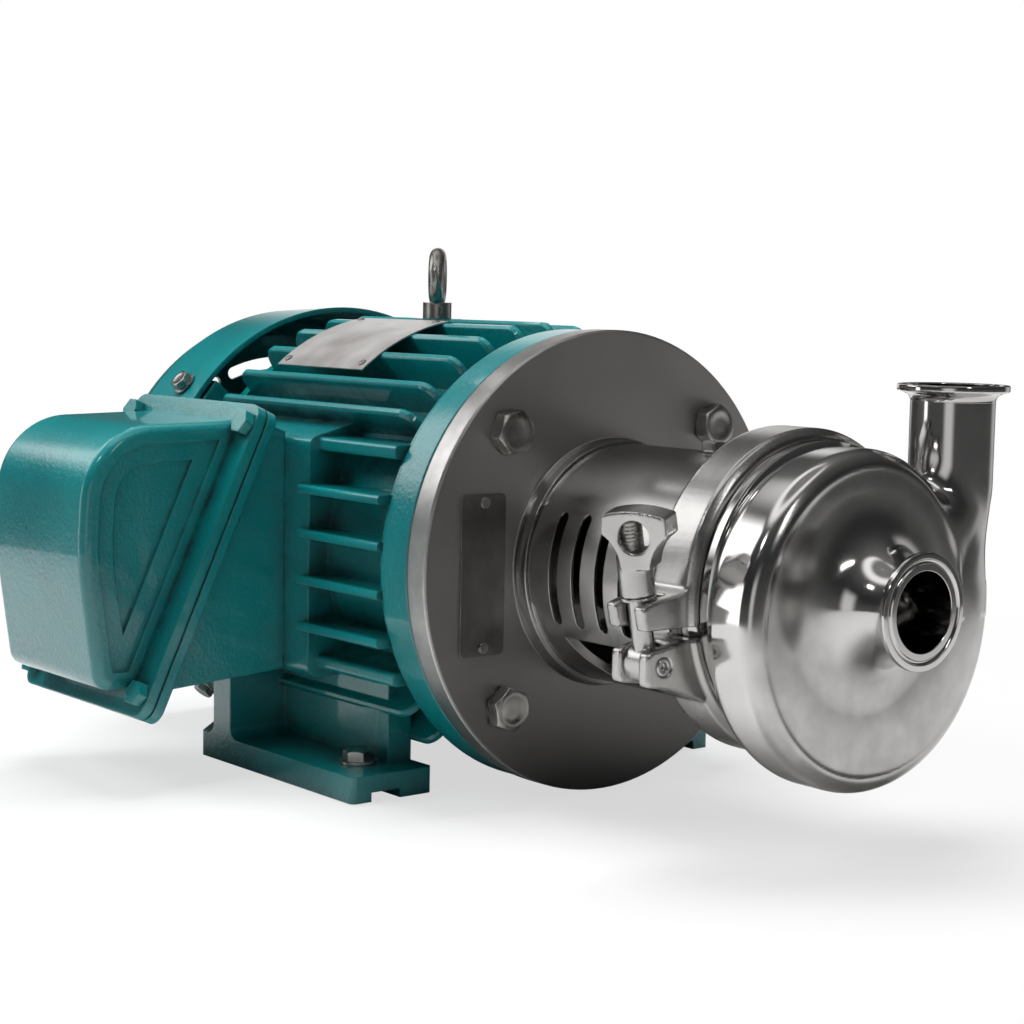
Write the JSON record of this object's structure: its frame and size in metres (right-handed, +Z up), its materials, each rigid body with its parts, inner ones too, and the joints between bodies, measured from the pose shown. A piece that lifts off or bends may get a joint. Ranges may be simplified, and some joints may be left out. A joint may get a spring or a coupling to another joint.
{
  "type": "sanitary centrifugal pump",
  "caption": "Close-coupled sanitary centrifugal pump: polished volute casing held by a hinged clamp ring on a slotted neck, driven by a finned foot-mounted motor.",
  "frame": {"origin": "centre of the four foot bolt holes, in the plane the feet stand on", "axes": "+X along the shaft from the motor to the suction port, +Z up along the discharge port, +Y towards the discharge side"},
  "size_m": [0.4962, 0.3368, 0.2667],
  "materials": {
    "teal_paint": "gloss teal enamel over cast iron",
    "satin_stainless": "satin machined stainless",
    "polished_stainless": "mirror polished stainless",
    "clamp_stainless": "tumbled bright stainless",
    "zinc_steel": "zinc plated",
    "plate_metal": "bare matt plate",
    "rubber_seal": "matt",
    "shaft_steel": "ground",
    "lamination_steel": "stacked sheet",
    "copper_winding": "varnished copper wire",
    "black_plastic": "moulded",
    "seal_carbon": "lapped carbon",
    "seal_ceramic": "lapped ceramic"
  },
  "bodies": {
    "pump_unit": {"adapter": "satin_stainless", "adapter_bolts": "zinc_steel", "adapter_plate": "plate_metal", "adapter_plate_screws": "zinc_steel", "backplate": "satin_stainless", "bearing_balls": "shaft_steel", "bearing_outer_rings": "shaft_steel", "casing_o_ring": "rubber_seal", "clamp_hinge_pin": "clamp_stainless", "clamp_lower_half": "clamp_stainless", "clamp_upper_half": "clamp_stainless", "cowl_screws": "zinc_steel", "drive_end_bracket": "teal_paint", "eye_bolt": "zinc_steel", "fan_cowl": "teal_paint", "guard": "polished_stainless", "guard_bolt": "zinc_steel", "motor_frame": "teal_paint", "motor_nameplate": "plate_metal", "nameplate_rivets": "zinc_steel", "rear_end_bracket": "teal_paint", "seal_seat": "seal_ceramic", "stator_core": "lamination_steel", "stator_windings": "copper_winding", "swing_bolt_pin": "clamp_stainless", "terminal_block": "black_plastic", "terminal_box_base": "teal_paint", "terminal_box_cover": "teal_paint", "terminal_box_gasket": "rubber_seal", "terminal_box_screws": "teal_paint"},
    "rotor": {"bearing_inner_rings": "shaft_steel", "cooling_fan": "black_plastic", "impeller": "polished_stainless", "impeller_nut": "polished_stainless", "motor_shaft": "shaft_steel", "rotor_core": "lamination_steel", "seal_face_ring": "seal_carbon", "shaft_key": "shaft_steel", "stub_shaft": "satin_stainless"},
    "pump_casing": {"casing": "polished_stainless", "discharge_tube": "polished_stainless"},
    "swing_bolt_body": {"swing_bolt": "clamp_stainless"},
    "washer_body": {"thrust_washer": "clamp_stainless"},
    "nut_body": {"wing_nut": "clamp_stainless"}
  },
  "joints": [
    {"name": "rotor_spin", "type": "hinge", "parent": "pump_unit", "child": "rotor", "pos_m": [0, 0, 0.1143], "axis": [1, 0, 0], "continuous": true},
    {"name": "casing_turn", "type": "hinge", "parent": "pump_unit", "child": "pump_casing", "pos_m": [0.3, 0, 0.1143], "axis": [1, 0, 0], "range_deg": [-90, 75]},
    {"name": "bolt_swing", "type": "hinge", "parent": "pump_unit", "child": "swing_bolt_body", "pos_m": [0.2515, -0.0845, 0.0893], "axis": [1, 0, 0], "range_deg": [0, 100]},
    {"name": "nut_travel", "type": "slide", "parent": "swing_bolt_body", "child": "washer_body", "axis": [0, -0.1736, 0.9848], "range_m": [0, 0.00636]},
    {"name": "nut_turn", "type": "hinge", "parent": "washer_body", "child": "nut_body", "pos_m": [0.2515, -0.08971, 0.11884], "axis": [0, -0.1736, 0.9848], "range_deg": [0, 1440]}
  ],
  "couplings": [
    {"joint": "nut_travel", "follows": "nut_turn", "m_per_rad": 0.00025266}
  ]
}
